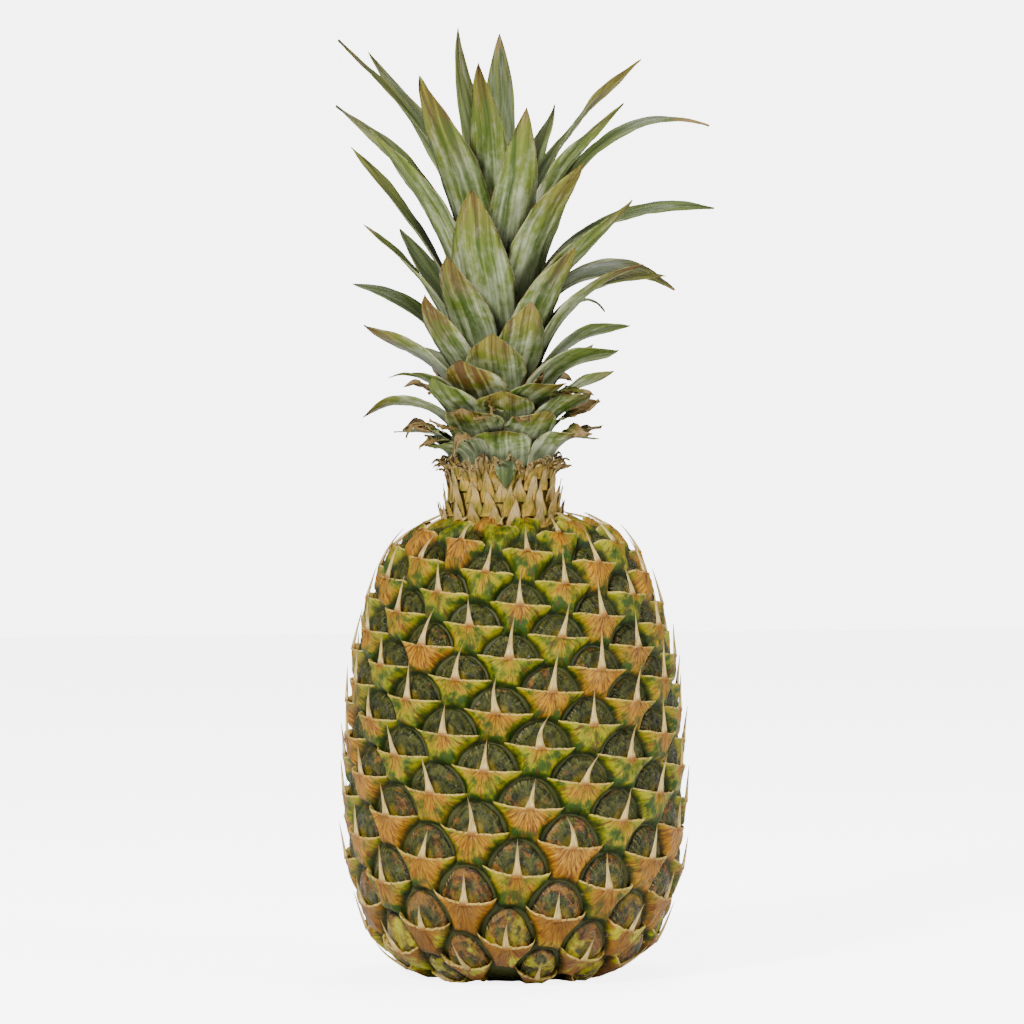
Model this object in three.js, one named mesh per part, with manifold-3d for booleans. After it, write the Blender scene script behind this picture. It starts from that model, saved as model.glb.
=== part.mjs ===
// Pineapple standing on its base: one grown fruit, the short crown stem on its shoulder, and the
// crown leaves set round that stem. Millimetres, +Z up, origin at the middle of the flat base,
// the front of the fruit towards -Y. Azimuths run from the front (-Y) towards +X.
import * as THREE from 'three';
import { mergeVertices } from 'three/addons/utils/BufferGeometryUtils.js';
import Module from 'manifold-3d';

const wasm = await Module();
wasm.setup();

// ---------------------------------------------------------------- driving dimensions
// Outline of the fruit over the eyes, [radius, height], from under the base to the crown seat.
const FRUIT_OUTLINE = [
  [0, -12], [16, -7], [31, 0], [40, 5], [49, 12.5], [54.5, 25], [58, 38], [59, 56], [58.6, 80], [56.2, 108],
  [53.2, 123], [48.8, 137.5], [43, 149.8], [36, 157.4], [29, 161.2], [20, 163.8], [8, 165],
];
const BASE_KNOT = 2;              // outline knot that lies on the floor

// Fruitlets sit on one spiral: each is turned 137.3 degrees from the one below it. They line up
// in 8 gentle rows, 13 steep rows and 21 nearly upright rows.
const SPIRAL_TURN = 137.342;
const SPIRAL_START = -1.4;
const FIRST_FRUITLET = -118;
const LAST_FRUITLET = 60;
const RISE = { middle: 126, slope: 52.9, crowding: 3.5, span: 60 };

// Flat places of the fruit, each a filled outline of [radius, height]: under the crown, and the
// pressed spot it stands on.
const CROWN_SEAT = [[0, 150], [26, 150], [22.5, 161], [20, 167.1], [0, 167.1]];
const STANDING_SPOT = [[0, -4], [30, -4], [30, 0.5], [33, 6], [0, 12]];
const SEAT_SIDES = 32;

const CREVICE_DEPTH = 3.4;        // groove between neighbouring fruitlets
const EYE_HEIGHT = 5.2;           // distance of the eye above the lip, along the skin
const LIP_SPREAD = 6.2;           // half the raised part of the lip
const LIP_RAISE = 0.9;
const BELLY_DROP = 4.6;           // distance of the bract's belly below the lip
const SPINE = { halfWidth: 1.9, foot: 2.6, length: 11.5, stand: 4.6, sway: 2.2 };

// Short stem of the crown, [height, radius].
const STEM_OUTLINE = [
  [167.6, 17], [168.2, 18.6], [173, 17.4], [179, 18.4], [184, 16.6], [192, 14.6], [204, 12.4],
  [220, 10.2], [236, 8.4], [254, 6], [264, 3.6], [267, 1.2],
];
const STEM_SIDES = 24;
const COLLAR_ROWS = [
  { z: 169.4, count: 13, turn: 0, height: 6.5 },
  { z: 173.2, count: 12, turn: 11, height: 6.5 },
  { z: 176.4, count: 13, turn: 4, height: 6.0 },
];
const COLLAR_SCALE = { halfWidth: 2.6, sink: 1.6, stand: 2.2 };

// The crown stands a little off the middle of the shoulder and leans towards -X.
const CROWN_OFFSET = -3.4;
const CROWN_LEAN = 0.016;
const CROWN_FOOT = 167;

const LEAF_GAP = 0.35;            // air between a leaf and whatever lies against it
const LEAF_THICKNESS = { root: 1.3, tip: 0.9 };
const LEAF_ROOT_SHARE = 0.65;     // width at the root over the full width
const HOOK_START = 0.7;           // share of a leaf's length where its tip begins to hook
const LEAF_STATIONS = 8;
const LEAF_COLUMNS = [-1, -0.5, 0, 0.5, 1];

// Crown leaves from the neck upwards: azimuth, height of the root on the stem, reach of the tip
// from the stem's axis, height of the tip, lean from upright at the root and at the tip, width,
// taper (larger keeps a leaf wide for longer before its point), twist and hook of the tip.
const LEAVES = [
  // low tier on the neck
  [2, 183.2, 25, 193, 28, 55, 19, 3, 0, 0],
  [62, 183.2, 30, 192, 30, 62, 18, 3, 12, 0],
  [122, 183.2, 30, 191, 30, 62, 18, 3, 0, 0],
  [182, 183.2, 30, 191, 30, 62, 18, 3, 0, 0],
  [-118, 183.2, 31, 192, 30, 62, 18, 3, 0, 0],
  [-58, 183.2, 31, 188, 34, 72, 18, 3, 0, 0],
  [33, 187, 30, 200, 20, 42, 18, 3, 0, 0],
  [94, 187, 35, 190, 34, 84, 14, 2.2, 0, 0],
  [-92, 187, 38, 193, 32, 86, 14, 2.2, 0, 0],
  [-28, 187, 29, 201, 16, 30, 20, 4, 0, 0],
  // short leaves that spread from the lower crown
  [3, 191, 28, 207, 12, 26, 19, 4, 0, 0],
  [63, 191, 36, 206, 24, 58, 17, 3, 18, 0],
  [150, 189, 38, 207, 24, 60, 18, 3, 0, 0],
  [-152, 189, 38, 208, 24, 60, 18, 3, 0, 0],
  [-80, 191.5, 50, 200, 30, 112, 16, 2.4, -25, 2],
  [-44, 192, 33, 212, 14, 22, 16, 4, 0, 0],
  [35, 196, 38, 211, 18, 58, 17, 3.4, 0, 2],
  [94, 195, 41, 214, 22, 62, 15, 3, 25, 0],
  [180, 195, 42, 217, 20, 58, 18, 3, 0, 0],
  [-24, 197, 32, 218, 10, 14, 19, 4, 0, 0],
  [-64, 197, 43, 214, 20, 86, 13, 3, 0, 2],
  [-4, 202, 29, 227, 10, 8, 18, 4, 0, 0],
  [61, 201, 48, 221, 20, 78, 17, 2.8, 25, 0],
  [132, 199, 46, 224, 20, 60, 17, 3, 0, 0],
  [-132, 200, 46, 226, 20, 60, 17, 3, 0, 0],
  [-80, 201.5, 48, 231, 20, 58, 15, 2.4, -30, 0],
  [24, 207, 29, 238, 11, 8, 16, 4, 0, 0],
  [86, 206, 47, 230, 20, 84, 17, 2.6, 25, 0],
  [172, 207, 48, 243, 17, 58, 18, 3, 0, 0],
  [-102, 208, 53, 246, 20, 80, 14, 2.4, 35, 0],
  [-51, 208, 32, 241, 24, 2, 16, 4, 0, 0],
  // middle leaves
  [-31, 214, 34, 254, 12, 20, 16, 4, 0, 0],
  [47, 214, 38, 257, 14, 38, 18, 3.4, 0, 0],
  [108, 213, 42, 238, 18, 118, 13, 2.2, 0, 3],
  [-124, 214, 42, 266, 14, 40, 15, 2.6, 20, 0],
  [-76, 214, 48, 266, 18, 52, 14, 2.4, 30, 0],
  [74, 211, 54, 251, 18, 74, 13, 2.4, 15, 0],
  [-14, 220, 34, 277, 10, 14, 20, 4, 0, 0],
  [88, 218, 60, 247, 15, 92, 12, 2.2, -30, 0],
  [112, 224, 70, 246, 16, 110, 20, 3, -40, 3],
  [58, 221, 57, 273, 12, 50, 16, 2.6, 8, 0],
  [-92, 222, 51, 294, 12, 40, 14, 2.4, 35, 0],
  [-170, 220, 50, 266, 14, 54, 17, 3, 0, 0],
  [40, 228, 48, 286, 10, 46, 18, 3.4, 0, 0],
  [92, 232, 78, 271, 10, 96, 15, 2.2, -45, 0],
  [-58, 229, 50, 299, 9, 40, 18, 3, 0, 0],
  // long upper leaves
  [17, 236, 42, 305, 6, 16, 17, 3.6, 0, 0],
  [104, 237, 80, 302, 8, 108, 15, 2.2, -30, 0],
  [-114, 236, 61, 311, 9, 50, 14, 2.4, 30, 0],
  [74, 242, 48, 308, 8, 50, 16, 2.6, 20, 0],
  [-38, 242, 43, 315, 7, 34, 20, 3.6, 0, -3],
  [150, 240, 44, 311, 8, 34, 13, 2.8, 0, 0],
  [116, 247, 60, 326, 8, 52, 17, 2.6, 40, 0],
  [-84, 249, 54, 332, 6, 44, 13, 2.4, 30, 0],
  [-132, 244, 60, 331, 7, 42, 12, 2.4, 30, 0],
  [-158, 254, 34, 337, 5, 22, 11, 3, 0, -4],
  [-8, 249, 23, 322, 5, 10, 15, 3.4, 0, 0],
  [173, 262, 24, 336, 4, 12, 14, 3.4, 0, 0],
];

// ---------------------------------------------------------------- shared helpers
const rad = THREE.MathUtils.degToRad;

function indexedGeometry(points, triangles) {
  const geometry = new THREE.BufferGeometry();
  geometry.setAttribute('position', new THREE.Float32BufferAttribute(points.flatMap((p) => p.toArray()), 3));
  geometry.setIndex(triangles.flat());
  return geometry;
}

function toSolid(geometry) {
  const bare = geometry.clone();
  bare.deleteAttribute('normal');
  bare.deleteAttribute('uv');
  const welded = mergeVertices(bare, 1e-4);
  return new wasm.Manifold(new wasm.Mesh({
    numProp: 3,
    vertProperties: new Float32Array(welded.attributes.position.array),
    triVerts: new Uint32Array(welded.index.array),
  }));
}

function toGeometry(solid) {
  const mesh = solid.getMesh();
  const geometry = new THREE.BufferGeometry();
  geometry.setAttribute('position', new THREE.Float32BufferAttribute(mesh.vertProperties, 3));
  geometry.setIndex([...mesh.triVerts]);
  return geometry;
}

function radialPoint(azimuth, radius, z) {
  return new THREE.Vector3(radius * Math.sin(azimuth), -radius * Math.cos(azimuth), z);
}

function material(color, roughness) {
  return new THREE.MeshStandardMaterial({ color, roughness, metalness: 0, flatShading: true });
}

// ---------------------------------------------------------------- fruit
const outlineCurve = new THREE.SplineCurve(FRUIT_OUTLINE.map(([r, z]) => new THREE.Vector2(r, z)));
outlineCurve.arcLengthDivisions = 800;
const outlineLength = outlineCurve.getLength();
const baseLength = (() => {
  const lengths = outlineCurve.getLengths();
  const perKnot = (lengths.length - 1) / (FRUIT_OUTLINE.length - 1);
  return lengths[Math.round(BASE_KNOT * perKnot)];
})();

// Point at an azimuth, a distance along the skin from the floor, and a height over the skin.
function skinPoint(azimuth, along, height) {
  const share = THREE.MathUtils.clamp((along + baseLength) / outlineLength, 0, 1);
  const at = outlineCurve.getPointAt(share);
  const direction = outlineCurve.getTangentAt(share);
  return radialPoint(azimuth, at.x + direction.y * height, at.y - direction.x * height);
}

function fruitletAlong(k) {
  const t = k / RISE.span;
  return RISE.middle + RISE.slope * t + RISE.crowding * t ** 3;
}

// Signed turn in degrees from one fruitlet to another a few steps on, taken the short way round.
function spiralTurn(steps) {
  return THREE.MathUtils.euclideanModulo(steps * SPIRAL_TURN + 180, 360) - 180;
}

// Meeting point of fruitlet k and the two neighbours the given steps above it.
function cornerPoint(k, steps, depth) {
  const turn = steps.reduce((sum, step) => sum + spiralTurn(step), 0) / 3;
  const along = [0, ...steps].reduce((sum, step) => sum + fruitletAlong(k + step), 0) / 3;
  return skinPoint(rad(SPIRAL_START + k * SPIRAL_TURN + turn), along, -depth);
}

function fruitGeometry() {
  const points = [];
  const triangles = [];
  const cornerIndex = new Map();
  const add = (point) => points.push(point) - 1;
  const corner = (k, steps) => {
    const key = `${k}:${steps}`;
    if (!cornerIndex.has(key)) cornerIndex.set(key, add(cornerPoint(k, steps, CREVICE_DEPTH)));
    return cornerIndex.get(key);
  };
  const right = [8, 21];
  const left = [13, 21];

  for (let k = FIRST_FRUITLET; k <= LAST_FRUITLET; k += 1) {
    const azimuth = rad(SPIRAL_START + k * SPIRAL_TURN);
    const along = fruitletAlong(k);
    const radius = Math.hypot(...skinPoint(azimuth, along, 0).toArray().slice(0, 2));
    const local = (u, v, height) => add(skinPoint(azimuth + u / radius, along + v, height));
    const shrink = Math.min(1, radius / 50);
    const spread = LIP_SPREAD * shrink;
    const sway = SPINE.sway * Math.sin(k * 2.4);

    const topRight = corner(k, right);
    const sideRight = corner(k - 13, left);
    const lowRight = corner(k - 21, right);
    const lowLeft = corner(k - 21, left);
    const sideLeft = corner(k - 8, right);
    const topLeft = corner(k, left);
    const eye = local(0.6, EYE_HEIGHT, 0);
    const underLeft = local(-spread, 1.2, -1.9);
    const spineBack = local(0, 0.8, -0.8);
    const underRight = local(spread, 0.6, -1.9);
    const lipLeft = local(-spread, 0.2, LIP_RAISE);
    const spineLeft = local(-SPINE.halfWidth, 0, LIP_RAISE);
    const spineRight = local(SPINE.halfWidth, 0, LIP_RAISE);
    const lipRight = local(spread, -0.4, LIP_RAISE);
    const spineFront = local(0, -SPINE.foot, LIP_RAISE + 0.8);
    const spineTip = local(sway, SPINE.length * shrink, SPINE.stand);
    const belly = local(0, -BELLY_DROP - 1.2, 0.1);

    triangles.push(
      [eye, topRight, topLeft], [eye, sideRight, topRight], [eye, underRight, sideRight],
      [eye, spineBack, underRight], [eye, underLeft, spineBack], [eye, sideLeft, underLeft],
      [eye, topLeft, sideLeft],
      [underLeft, sideLeft, lipLeft], [underLeft, lipLeft, spineLeft], [underLeft, spineLeft, spineBack],
      [spineBack, spineRight, underRight], [underRight, spineRight, lipRight],
      [underRight, lipRight, sideRight],
      [spineTip, spineBack, spineLeft], [spineTip, spineLeft, spineFront],
      [spineTip, spineFront, spineRight], [spineTip, spineRight, spineBack],
      [belly, lipLeft, sideLeft], [belly, spineLeft, lipLeft], [belly, spineFront, spineLeft],
      [belly, spineRight, spineFront], [belly, lipRight, spineRight], [belly, sideRight, lipRight],
      [belly, lowRight, sideRight], [belly, lowLeft, lowRight], [belly, sideLeft, lowLeft],
    );
  }
  closeOpenRim(points, triangles);
  return indexedGeometry(points, triangles);
}

// Closes each open rim with a fan to its own middle point.
function closeOpenRim(points, triangles) {
  const edges = new Set(triangles.flatMap(([a, b, c]) => [`${a}>${b}`, `${b}>${c}`, `${c}>${a}`]));
  const next = new Map();
  for (const edge of edges) {
    const [a, b] = edge.split('>').map(Number);
    if (!edges.has(`${b}>${a}`)) next.set(b, a);
  }
  while (next.size) {
    const rim = [next.keys().next().value];
    while (next.get(rim.at(-1)) !== rim[0]) rim.push(next.get(rim.at(-1)));
    const height = rim.reduce((sum, i) => sum + points[i].z, 0) / rim.length;
    const middle = points.push(new THREE.Vector3(0, 0, height)) - 1;
    rim.forEach((a, i) => triangles.push([a, rim[(i + 1) % rim.length], middle]));
    rim.forEach((i) => next.delete(i));
  }
}

function turned(outline, sides) {
  const profile = outline.map(([r, z]) => new THREE.Vector2(r, z));
  return new THREE.LatheGeometry(profile, sides).rotateX(Math.PI / 2);
}

// The skin, filled out to a flat seat under the crown and cut off flat at the floor.
function makeFruit() {
  const floorBlock = new THREE.BoxGeometry(200, 200, 40).translate(0, 0, -20);
  return toGeometry(toSolid(fruitGeometry())
    .add(toSolid(turned(CROWN_SEAT, SEAT_SIDES)))
    .add(toSolid(turned(STANDING_SPOT, SEAT_SIDES)))
    .subtract(toSolid(floorBlock)));
}

// ---------------------------------------------------------------- crown stem
function stemRadius(z) {
  const above = STEM_OUTLINE.findIndex(([height]) => height >= z);
  if (above === -1) return STEM_OUTLINE.at(-1)[1];
  if (above === 0) return STEM_OUTLINE[0][1];
  const [z0, r0] = STEM_OUTLINE[above - 1];
  const [z1, r1] = STEM_OUTLINE[above];
  return THREE.MathUtils.mapLinear(z, z0, z1, r0, r1);
}

function collarScale(azimuth, z, height) {
  const { halfWidth, sink, stand } = COLLAR_SCALE;
  const turn = halfWidth / stemRadius(z);
  const inside = stemRadius(z) - sink;
  const outside = stemRadius(z) + stand * 0.6;
  const points = [
    radialPoint(azimuth - turn, inside, z),
    radialPoint(azimuth + turn, inside, z),
    radialPoint(azimuth, outside, z + height * 0.25),
    radialPoint(azimuth, stemRadius(z) + stand * 0.4, z + height),
    radialPoint(azimuth, inside, z + height * 0.7),
  ];
  return indexedGeometry(points, [[0, 1, 2], [0, 2, 3], [1, 3, 2], [0, 3, 4], [1, 4, 3], [0, 4, 1]]);
}

function makeCrownStem() {
  const ends = [[STEM_OUTLINE[0][0], 0], ...STEM_OUTLINE, [STEM_OUTLINE.at(-1)[0] + 0.8, 0]];
  let solid = toSolid(turned(ends.map(([z, r]) => [r, z]), STEM_SIDES));
  for (const { z, count, turn, height } of COLLAR_ROWS) {
    for (let i = 0; i < count; i += 1) {
      const azimuth = rad(turn + (360 * i) / count);
      solid = solid.add(toSolid(collarScale(azimuth, z, height)));
    }
  }
  return toGeometry(solid);
}

// ---------------------------------------------------------------- crown leaves
// Midline of a leaf in the upright plane at its azimuth, as [reach from the axis, height].
function leafMidline([, rootZ, tipReach, tipZ, rootLean, tipLean]) {
  const root = new THREE.Vector2(stemRadius(rootZ) + LEAF_THICKNESS.root + LEAF_GAP, rootZ);
  const tip = new THREE.Vector2(tipReach, tipZ);
  const pull = 0.4 * root.distanceTo(tip);
  const leaning = (degrees) => new THREE.Vector2(0, pull).rotateAround(new THREE.Vector2(), -rad(degrees));
  return new THREE.CubicBezierCurve(
    root, root.clone().add(leaning(rootLean)), tip.clone().sub(leaning(tipLean)), tip);
}

// Directions across and square out of a leaf at t along it, after its twist.
function leafDirections(azimuth, along, turn) {
  const axis = radialPoint(azimuth, along.x, along.y);
  const across = new THREE.Vector3(Math.cos(azimuth), Math.sin(azimuth), 0).applyAxisAngle(axis, turn);
  const outward = radialPoint(azimuth, along.y, -along.x).applyAxisAngle(axis, turn);
  return [across, outward];
}

// A leaf wraps the stem at its root and folds into a narrower channel further out.
function leafGeometry(leaf) {
  const azimuth = rad(leaf[0]);
  const [fullWidth, taper, twist, hook] = leaf.slice(6);
  const midline = leafMidline(leaf);
  const points = [];
  const triangles = [];

  for (let i = 0; i < LEAF_STATIONS; i += 1) {
    const t = i / LEAF_STATIONS;
    const along = midline.getTangent(t);
    const bent = hook * Math.max(0, (t - HOOK_START) / (1 - HOOK_START)) ** 2;
    const at = midline.getPoint(t).add(new THREE.Vector2(along.y, -along.x).multiplyScalar(bent));
    const middle = radialPoint(azimuth, at.x, at.y);
    const turn = rad(twist) * THREE.MathUtils.smoothstep(t, 0.25, 1);
    const [across, outward] = leafDirections(azimuth, along, turn);
    const spread = THREE.MathUtils.lerp(LEAF_ROOT_SHARE, 1, THREE.MathUtils.smoothstep(t, 0, 0.35));
    const width = fullWidth * spread * (1 - t ** taper) ** 0.9;
    const channel = THREE.MathUtils.lerp(at.x, fullWidth * 0.6, THREE.MathUtils.smoothstep(t, 0.15, 0.8));
    const thickness = THREE.MathUtils.lerp(LEAF_THICKNESS.root, LEAF_THICKNESS.tip, t);
    const sectionPoint = (column, inset) => {
      const angle = (column * width) / (2 * channel);
      return middle.clone()
        .addScaledVector(across, (channel - inset) * Math.sin(angle))
        .addScaledVector(outward, (channel - inset) * Math.cos(angle) - channel);
    };
    const innerColumns = LEAF_COLUMNS.slice(1, -1).reverse();
    LEAF_COLUMNS.forEach((column) => points.push(sectionPoint(column, 0)));
    innerColumns.forEach((column) => points.push(sectionPoint(column, thickness)));
  }

  const ring = 2 * LEAF_COLUMNS.length - 2;
  const lastRing = (LEAF_STATIONS - 1) * ring;
  const end = midline.getTangent(1);
  const tip = points.push(radialPoint(azimuth, leaf[2] + end.y * hook, leaf[3] - end.x * hook)) - 1;
  for (let j = 0; j < ring; j += 1) {
    const next = (j + 1) % ring;
    for (let start = 0; start < lastRing; start += ring) {
      triangles.push([start + j, start + next, start + ring + next]);
      triangles.push([start + j, start + ring + next, start + ring + j]);
    }
    triangles.push([lastRing + j, lastRing + next, tip]);
    if (j > 0 && next > 0) triangles.push([0, next, j]);
  }
  return indexedGeometry(points, triangles);
}

// ---------------------------------------------------------------- assembly
const crownPlacement = new THREE.Matrix4().set(
  1, 0, -CROWN_LEAN, CROWN_OFFSET + CROWN_LEAN * CROWN_FOOT,
  0, 1, 0, 0,
  0, 0, 1, 0,
  0, 0, 0, 1);

const pineapple = new THREE.Group();
pineapple.name = 'pineapple';

function addPart(name, geometry, look) {
  const mesh = new THREE.Mesh(geometry, look);
  mesh.name = name;
  pineapple.add(mesh);
}

addPart('fruit', makeFruit(), material(0x8a7a2c, 0.6));
addPart('crown_stem', makeCrownStem().applyMatrix4(crownPlacement), material(0xc9b36a, 0.75));
LEAVES.forEach((leaf, i) => {
  const name = `leaf_${String(i + 1).padStart(2, '0')}`;
  addPart(name, leafGeometry(leaf).applyMatrix4(crownPlacement), material(0x71805a, 0.55));
});

export default pineapple;
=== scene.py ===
"""Looks of the pineapple, built round its CAD frame. Lengths in the design tables are millimetres;
azimuths run from the front of the fruit (-Y) towards +X."""
import math

import bpy
import numpy as np
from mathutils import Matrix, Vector


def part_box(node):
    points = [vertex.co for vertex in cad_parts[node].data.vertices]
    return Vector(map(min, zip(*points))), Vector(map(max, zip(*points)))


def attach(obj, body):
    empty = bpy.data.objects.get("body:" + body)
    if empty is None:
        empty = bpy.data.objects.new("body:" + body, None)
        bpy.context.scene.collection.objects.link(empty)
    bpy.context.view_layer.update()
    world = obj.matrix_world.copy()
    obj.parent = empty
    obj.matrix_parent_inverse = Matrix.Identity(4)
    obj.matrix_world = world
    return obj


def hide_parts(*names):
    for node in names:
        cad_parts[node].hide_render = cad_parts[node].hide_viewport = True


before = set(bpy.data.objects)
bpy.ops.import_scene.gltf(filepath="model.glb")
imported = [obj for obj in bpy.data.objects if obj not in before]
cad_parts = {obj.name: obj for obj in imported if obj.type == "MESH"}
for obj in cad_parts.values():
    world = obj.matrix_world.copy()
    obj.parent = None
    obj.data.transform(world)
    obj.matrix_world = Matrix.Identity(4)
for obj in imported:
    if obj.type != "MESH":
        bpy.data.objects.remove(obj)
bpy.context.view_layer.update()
fruit_low, fruit_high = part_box("fruit")
random = np.random.default_rng(7)

# ---------------------------------------------------------------- driving dimensions
FRUIT_HEIGHT = 167.8              # design height of the fruit with its topmost spines
MM = (fruit_high.z - fruit_low.z) / FRUIT_HEIGHT    # one design millimetre, in metres

# Outline of the fruit over the eyes, (radius, height), from under the base to the crown seat.
FRUIT_OUTLINE = [
    (0, -12), (16, -7), (31, 0), (40, 5), (49, 12.5), (54.5, 25), (58, 38), (59, 56), (58.6, 80),
    (56.2, 108), (53.2, 123), (48.8, 137.2), (43, 149.2), (36, 156.2), (29, 159.4), (20, 161.6), (8, 163),
]
BASE_KNOT = 2                     # outline knot that lies on the floor
KNOT_STEPS = 60                   # points of the curve between two knots
WIDEST = 58.0                     # radius that turns widths of fruitlets into angles

# Fruitlets sit on one spiral and rise along the skin; the lowest tuck in under the base.
SPIRAL_TURN = 137.342             # degrees from each fruitlet to the next
SPIRAL_START = -1.4               # azimuth of fruitlet 0
FRUITLETS = range(-116, 71)
# Distance of fruitlet 0 along the skin from the floor; the even rise over RISE_SPAN fruitlets, and
# the extra rise over them towards either end.
RISE_MIDDLE, RISE_SLOPE, RISE_CROWDING, RISE_SPAN = 126, 52.9, 3.5, 60
LOWEST_SHOWN = -2                 # distance along the skin below which fruitlets are left out
LOW_ROWS = (10, 95)               # stretch of skin over which the drier low rows give way

# Shape of one fruitlet, in its own plane: across, up from the lip, and out from the skin.
EYE_SIZE = (10.4, 8.8)            # half width and half height
EYE_CENTRE = (0.3, -0.3)
EYE_SIDES = 40
# Rings of a dome, as shares of the way from its middle to its rim.
EYE_RINGS = [0.02, 0.22, 0.40, 0.55, 0.68, 0.79, 0.87, 0.93, 0.97, 1.0, 1.03]
CREVICE = -3.2                    # bottom of the grooves between fruitlets
LIP_HEIGHT = 1.9
LOW_FLATNESS = 0.5                # how much less the lips stand out in the low rows
LIP_LEFT, LIP_RIGHT = (-14.0, 2.2), (13.6, -0.2)
BELLY_LEFT, BELLY_RIGHT = (-8.6, -11.5), (4.8, -12.0)
LIP_SAG = 1.0                     # dip of the lip at its middle
LOW_LIP_RISE = 1.3                # how far the ends of the lip turn up in the low rows
LOW_NARROWING = 0.12              # share of its width that a bract loses in the low rows
BRACT_COLUMNS, BRACT_ROWS = 30, 13
# Lip turned in under itself: steps up and out from the edge of the bract.
LIP_UNDER = [(-0.9, -2.0), (-0.15, -0.8), (0.10, -0.25)]
SPINE_LENGTH = 12.4
SPINE_HALF_WIDTH = 1.3
SPINE_THICKNESS = 0.6
SPINE_RINGS, SPINE_SIDES = 16, 10
CORE_DEPTH = 2.6                  # depth of the plain skin that closes the grooves
CORE_START = -30                  # where it starts, under the base, along the skin
CORE_RINGS, CORE_SIDES = 120, 160
FLOOR_CLEARANCE = 0.05            # least height of any point of the fruit
# Steps from a fruitlet to its neighbours 8, 13 and 21 places on.
STEP_8, STEP_13, STEP_21 = (18.97, 7.05), (-14.73, 11.46), (4.23, 18.5)

# Stem of the crown, (height, radius).
STEM_RADII = [(160, 18.6), (168, 18.6), (173, 17.4), (179, 18.4), (184, 16.6), (192, 14.6), (204, 12.4),
              (220, 10.2), (236, 8.4), (254, 6), (264, 3.6), (267, 1.2)]
STEM_RINGS, STEM_SIDES = 60, 64
# The crown stands off the middle of the shoulder and leans.
CROWN_OFFSET = -3.4
CROWN_LEAN = 0.016
CROWN_FOOT = 167

# Rows of collar scales: height, count, reach from the crown's axis, length, width.
COLLAR_ROWS = [(158.5, 19, 22.0, 10, 7.6), (163, 19, 20.6, 11, 7.4), (168, 18, 19.2, 11, 7.2),
               (172, 18, 18.6, 10, 7.0), (176, 17, 18.6, 7, 6.8)]
FRILLS = 64                       # dry fibres round the top of the collar
FRILL_REACH = 22.5                # least reach of their tips
FRILL_FOOT = (18.6, 175)          # reach and least height of their roots
SCRAPS = 26                       # withered scraps of small leaves in the low crown
SCRAP_HEIGHTS = (183, 24)         # lowest root and spread of the roots
SCRAP_REACH = 18                  # least reach of their tips from the stem
# The small green bract that hangs over the front of the collar, laid out as a crown leaf row.
TONGUE = (4, 182, 20.8, 172.5, 150, 178, 8, 2.2, 0, 0)
TONGUE_ROOT = 19.8                # reach of its root

LEAF_THICKNESS = 1.1
LEAF_ROOT_GAP = 1.65              # from the stem to the outer face of a leaf's root
LEAF_TUCK = 10                    # length of leaf base pressed against the stem below its root
LEAF_FULLNESS = 1.12              # width of a leaf over its plain CAD blade
LOW_LEAF_SPREAD = 0.20            # how much wider the crowded low leaves lie over each other
HOOK_START = 0.7                  # share of a leaf's length where its tip begins to hook
# Heights over which leaves change: where the short olive ones start and end, where the crowding
# ends, and where bases start to be pressed further down the stem.
OLIVE_START, OLIVE_END = (186, 196), (205, 235)
CROWDING_END = (200, 235)
TUCK_START = (184, 194)

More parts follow.
